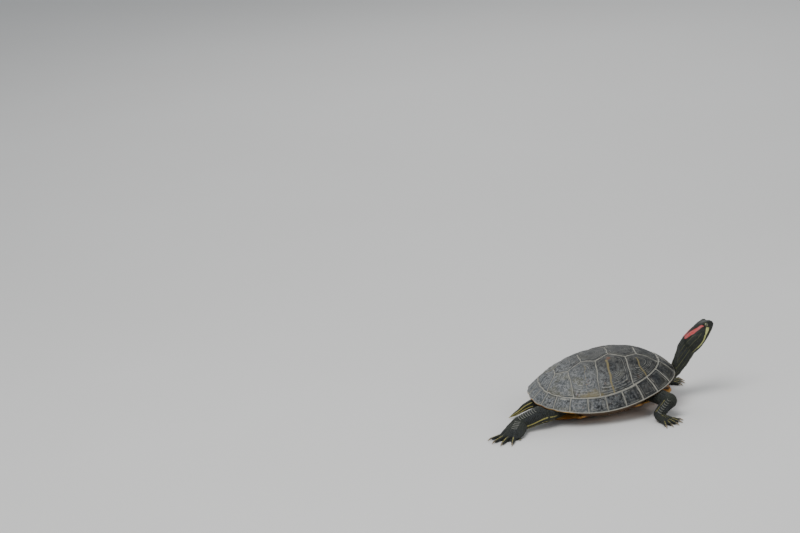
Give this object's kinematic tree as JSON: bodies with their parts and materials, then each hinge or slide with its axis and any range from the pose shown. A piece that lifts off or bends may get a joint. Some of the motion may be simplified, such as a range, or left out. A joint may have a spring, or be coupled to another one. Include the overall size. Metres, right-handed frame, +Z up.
{
  "type": "red-eared slider turtle",
  "caption": "Life-size still model of a red-eared slider turtle, resting with its head raised and its legs spread, with separate shell plates, eyes and limbs.",
  "frame": {"origin": "middle of the small flat at the rear of the plastron, where the belly rests on the floor", "axes": "+X towards the head, +Y towards the turtle's left side, +Z up from the floor"},
  "size_m": [0.2805, 0.2109, 0.0885],
  "materials": {
    "carapace_horn": "dry charcoal horn with fine growth rings and pale seams",
    "rim_horn": "dry charcoal horn, pale along the seams and the edge",
    "plastron_horn": "rust-yellow horn with dark blotches",
    "skin": "dark olive scaly skin with thin yellow stripes and a red stripe behind each eye",
    "jaw_and_claw_horn": "smooth dark horn",
    "iris": "wet, glossy"
  },
  "bodies": {
    "root": {"vertebral_1": "carapace_horn", "vertebral_2": "carapace_horn", "vertebral_3": "carapace_horn", "vertebral_4": "carapace_horn", "vertebral_5": "carapace_horn", "costal_left_1": "carapace_horn", "costal_left_2": "carapace_horn", "costal_left_3": "carapace_horn", "costal_left_4": "carapace_horn", "costal_right_1": "carapace_horn", "costal_right_2": "carapace_horn", "costal_right_3": "carapace_horn", "costal_right_4": "carapace_horn", "nuchal": "rim_horn", "marginal_left_1": "rim_horn", "marginal_left_2": "rim_horn", "marginal_left_3": "rim_horn", "marginal_left_4": "rim_horn", "marginal_left_5": "rim_horn", "marginal_left_6": "rim_horn", "marginal_left_7": "rim_horn", "marginal_left_8": "rim_horn", "marginal_left_9": "rim_horn", "marginal_left_10": "rim_horn", "marginal_left_11": "rim_horn", "marginal_left_12": "rim_horn", "marginal_right_1": "rim_horn", "marginal_right_2": "rim_horn", "marginal_right_3": "rim_horn", "marginal_right_4": "rim_horn", "marginal_right_5": "rim_horn", "marginal_right_6": "rim_horn", "marginal_right_7": "rim_horn", "marginal_right_8": "rim_horn", "marginal_right_9": "rim_horn", "marginal_right_10": "rim_horn", "marginal_right_11": "rim_horn", "marginal_right_12": "rim_horn", "plastron": "plastron_horn", "trunk": "skin", "head": "skin", "neck": "skin", "tail": "skin", "lower_jaw": "jaw_and_claw_horn", "eye_left": "iris", "eye_right": "iris", "upper_leg_front_left": "skin", "upper_leg_front_right": "skin", "upper_leg_hind_left": "skin", "upper_leg_hind_right": "skin", "lower_leg_front_left": "skin", "lower_leg_front_right": "skin", "lower_leg_hind_left": "skin", "lower_leg_hind_right": "skin", "foot_front_left": "skin", "foot_front_right": "skin", "foot_hind_left": "skin", "foot_hind_right": "skin"}
  },
  "joints": []
}
